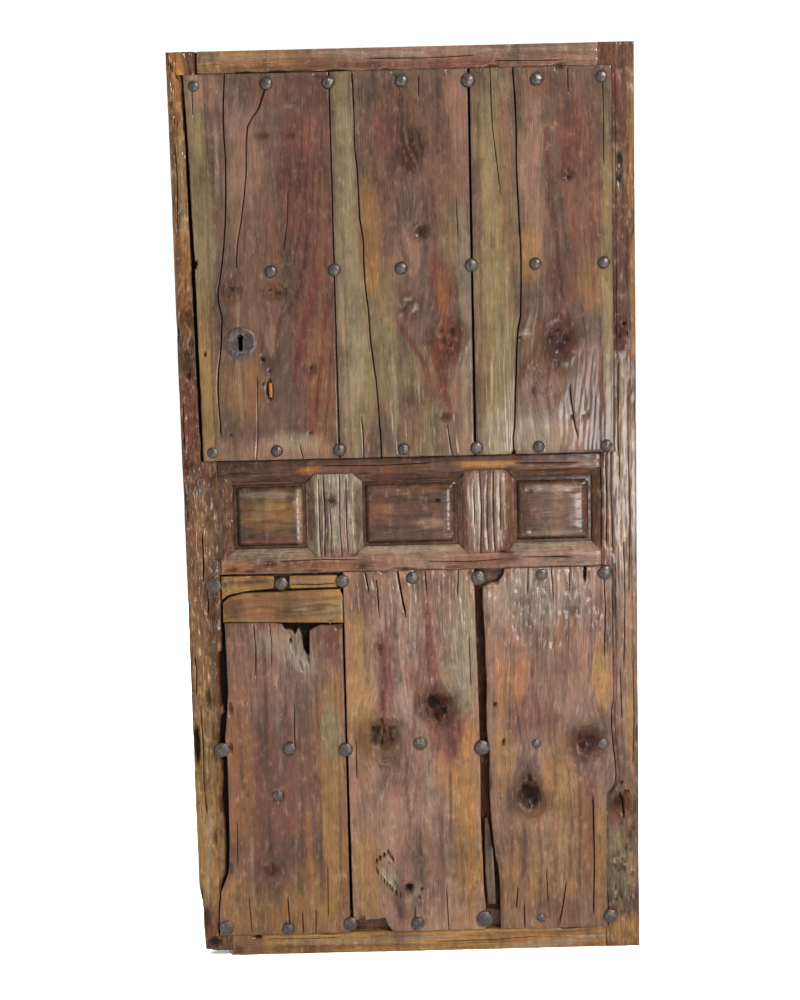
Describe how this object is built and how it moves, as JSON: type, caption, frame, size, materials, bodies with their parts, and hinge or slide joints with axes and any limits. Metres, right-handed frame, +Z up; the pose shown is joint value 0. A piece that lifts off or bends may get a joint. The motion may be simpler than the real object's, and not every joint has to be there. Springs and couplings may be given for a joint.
{
  "type": "plank and panel door leaf",
  "caption": "Rectangular old timber door leaf: mortised frame, band of fielded panels, wide nailed boards above and below, iron keyhole plate and box lock.",
  "frame": {"origin": "middle of the bottom edge, half way through the frame's thickness", "axes": "+X to the hanging edge seen from the front, +Y from the nailed front to the back, +Z up"},
  "size_m": [0.97, 0.0984, 1.95],
  "materials": {
    "frame_wood": "weathered pine frame, old wax over grey and ochre wood",
    "board_wood": "wide weathered pine boards, olive grey to red brown, cracked, knotted and waxed",
    "panel_wood": "brown waxed hardwood, worn at the bevels",
    "patch_wood": "lighter repair wood, waxed",
    "back_wood": "dark unpolished wood of the back",
    "forged_iron": "hand forged iron, brown black, rubbed bright on the domes",
    "lock_iron": "dark sheet iron with rust"
  },
  "bodies": {
    "leaf": {"left_stile": "frame_wood", "right_stile": "frame_wood", "top_rail": "frame_wood", "upper_mid_rail": "frame_wood", "lower_mid_rail": "frame_wood", "bottom_rail": "frame_wood", "left_muntin": "frame_wood", "right_muntin": "frame_wood", "left_panel": "panel_wood", "centre_panel": "panel_wood", "right_panel": "panel_wood", "upper_left_board": "board_wood", "upper_centre_board": "board_wood", "upper_right_board": "board_wood", "lower_left_board": "board_wood", "lower_centre_board": "board_wood", "lower_right_board": "board_wood", "upper_ledge": "back_wood", "lower_ledge": "back_wood", "left_cover_strip": "back_wood", "right_cover_strip": "back_wood", "patch_block": "patch_wood", "left_patch_slip": "patch_wood", "right_patch_slip": "patch_wood", "patch_backing": "back_wood", "loose_splinter": "board_wood", "slot_plug": "patch_wood", "domed_nails": "forged_iron", "strip_nails": "lock_iron", "tenon_wedges": "frame_wood", "keyhole_plate": "forged_iron", "plate_tacks": "forged_iron", "lock_block": "back_wood", "lock_plate": "lock_iron", "lock_cover": "lock_iron", "lock_rivets": "lock_iron", "lock_nails": "lock_iron", "bolt_spring": "lock_iron", "key_post": "lock_iron", "bolt_staple": "lock_iron"},
    "bolt": {"lock_bolt": "lock_iron"}
  },
  "joints": [
    {"name": "bolt_slide", "type": "slide", "parent": "leaf", "child": "bolt", "axis": [-1, 0, 0], "range_m": [0, 0.025]}
  ]
}
